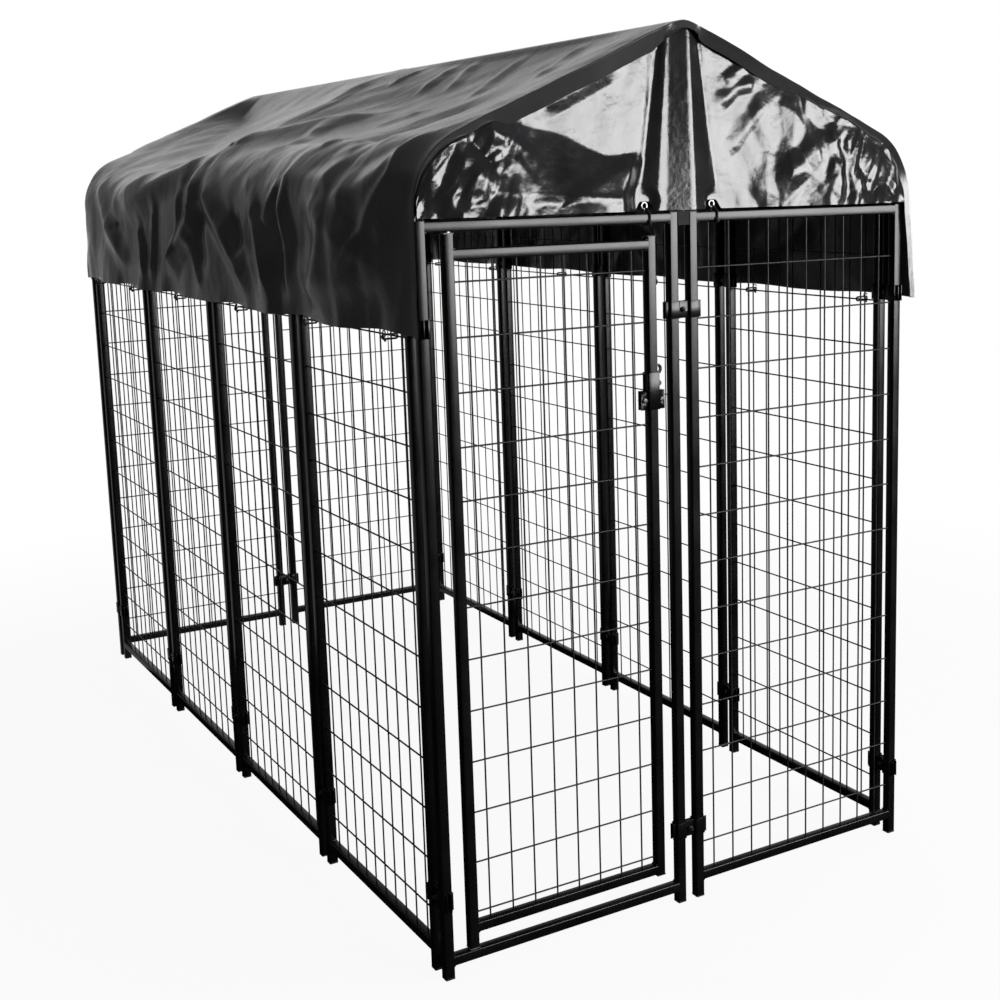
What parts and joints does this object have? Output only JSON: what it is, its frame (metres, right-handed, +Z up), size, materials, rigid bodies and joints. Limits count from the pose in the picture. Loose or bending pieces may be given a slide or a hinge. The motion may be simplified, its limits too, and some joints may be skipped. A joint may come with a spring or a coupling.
{
  "type": "outdoor dog kennel run",
  "caption": "Long outdoor dog kennel run of bolted black wire-mesh panels with a swinging gate and latch, under a pitched fabric cover tied over bent roof tubes.",
  "frame": {"origin": "centre of the footprint on the ground", "axes": "+X to the right when facing the gate wall from outside, +Y from the gate wall to the rear, +Z up"},
  "size_m": [1.2446, 2.4626, 1.8171],
  "materials": {
    "coated_steel": "black powder coat, satin",
    "mesh_wire": "black powder coat over welded wire",
    "black_plastic": "moulded",
    "nylon": "moulded",
    "zinc_steel": "zinc plated",
    "cover_film": "coated woven fabric, dull on the roof and shiny on the gables",
    "elastic_cord": "woven sleeve"
  },
  "bodies": {
    "kennel": {"gate_panel_frame": "coated_steel", "front_panel_frame": "coated_steel", "rear_panel_frame_left": "coated_steel", "rear_panel_frame_right": "coated_steel", "left_panel_frame_1": "coated_steel", "left_panel_frame_2": "coated_steel", "left_panel_frame_3": "coated_steel", "left_panel_frame_4": "coated_steel", "right_panel_frame_1": "coated_steel", "right_panel_frame_2": "coated_steel", "right_panel_frame_3": "coated_steel", "right_panel_frame_4": "coated_steel", "front_panel_mesh": "mesh_wire", "rear_panel_mesh_left": "mesh_wire", "rear_panel_mesh_right": "mesh_wire", "left_panel_mesh_1": "mesh_wire", "left_panel_mesh_2": "mesh_wire", "left_panel_mesh_3": "mesh_wire", "left_panel_mesh_4": "mesh_wire", "right_panel_mesh_1": "mesh_wire", "right_panel_mesh_2": "mesh_wire", "right_panel_mesh_3": "mesh_wire", "right_panel_mesh_4": "mesh_wire", "foot_caps": "black_plastic", "clamp_outer_halves": "coated_steel", "clamp_inner_halves": "coated_steel", "clamp_bolts": "zinc_steel", "clamp_nuts": "zinc_steel", "gate_pivot_pins": "zinc_steel", "front_left_rafter": "coated_steel", "front_right_rafter": "coated_steel", "middle_left_rafter": "coated_steel", "middle_right_rafter": "coated_steel", "rear_left_rafter": "coated_steel", "rear_right_rafter": "coated_steel", "rafter_screws": "zinc_steel", "ridge_tube_front": "coated_steel", "ridge_tube_rear": "coated_steel", "ridge_connectors": "black_plastic", "front_king_post": "coated_steel", "rear_king_post": "coated_steel", "king_post_saddles": "zinc_steel", "roof_sheet": "cover_film", "front_gable_sheet": "cover_film", "rear_gable_sheet": "cover_film", "hem_rings": "zinc_steel", "tie_loops": "elastic_cord"},
    "gate": {"gate_frame": "coated_steel", "gate_mesh": "mesh_wire", "gate_bushings": "nylon", "gate_stile_caps": "black_plastic", "latch_bracket_front": "coated_steel", "latch_bracket_rear": "coated_steel", "latch_bolts": "zinc_steel", "latch_nuts": "zinc_steel", "latch_pivot_bolt": "zinc_steel", "latch_pivot_nut": "zinc_steel"},
    "latch": {"latch_lever": "coated_steel"}
  },
  "joints": [
    {"name": "gate_swing", "type": "hinge", "parent": "kennel", "child": "gate", "pos_m": [-0.51425, -1.209, 0.7], "axis": [0, 0, -1], "range_deg": [0, 110]},
    {"name": "latch_turn", "type": "hinge", "parent": "gate", "child": "latch", "pos_m": [-0.0525, -1.209, 1.112], "axis": [0, 1, 0], "range_deg": [0, 90]}
  ]
}
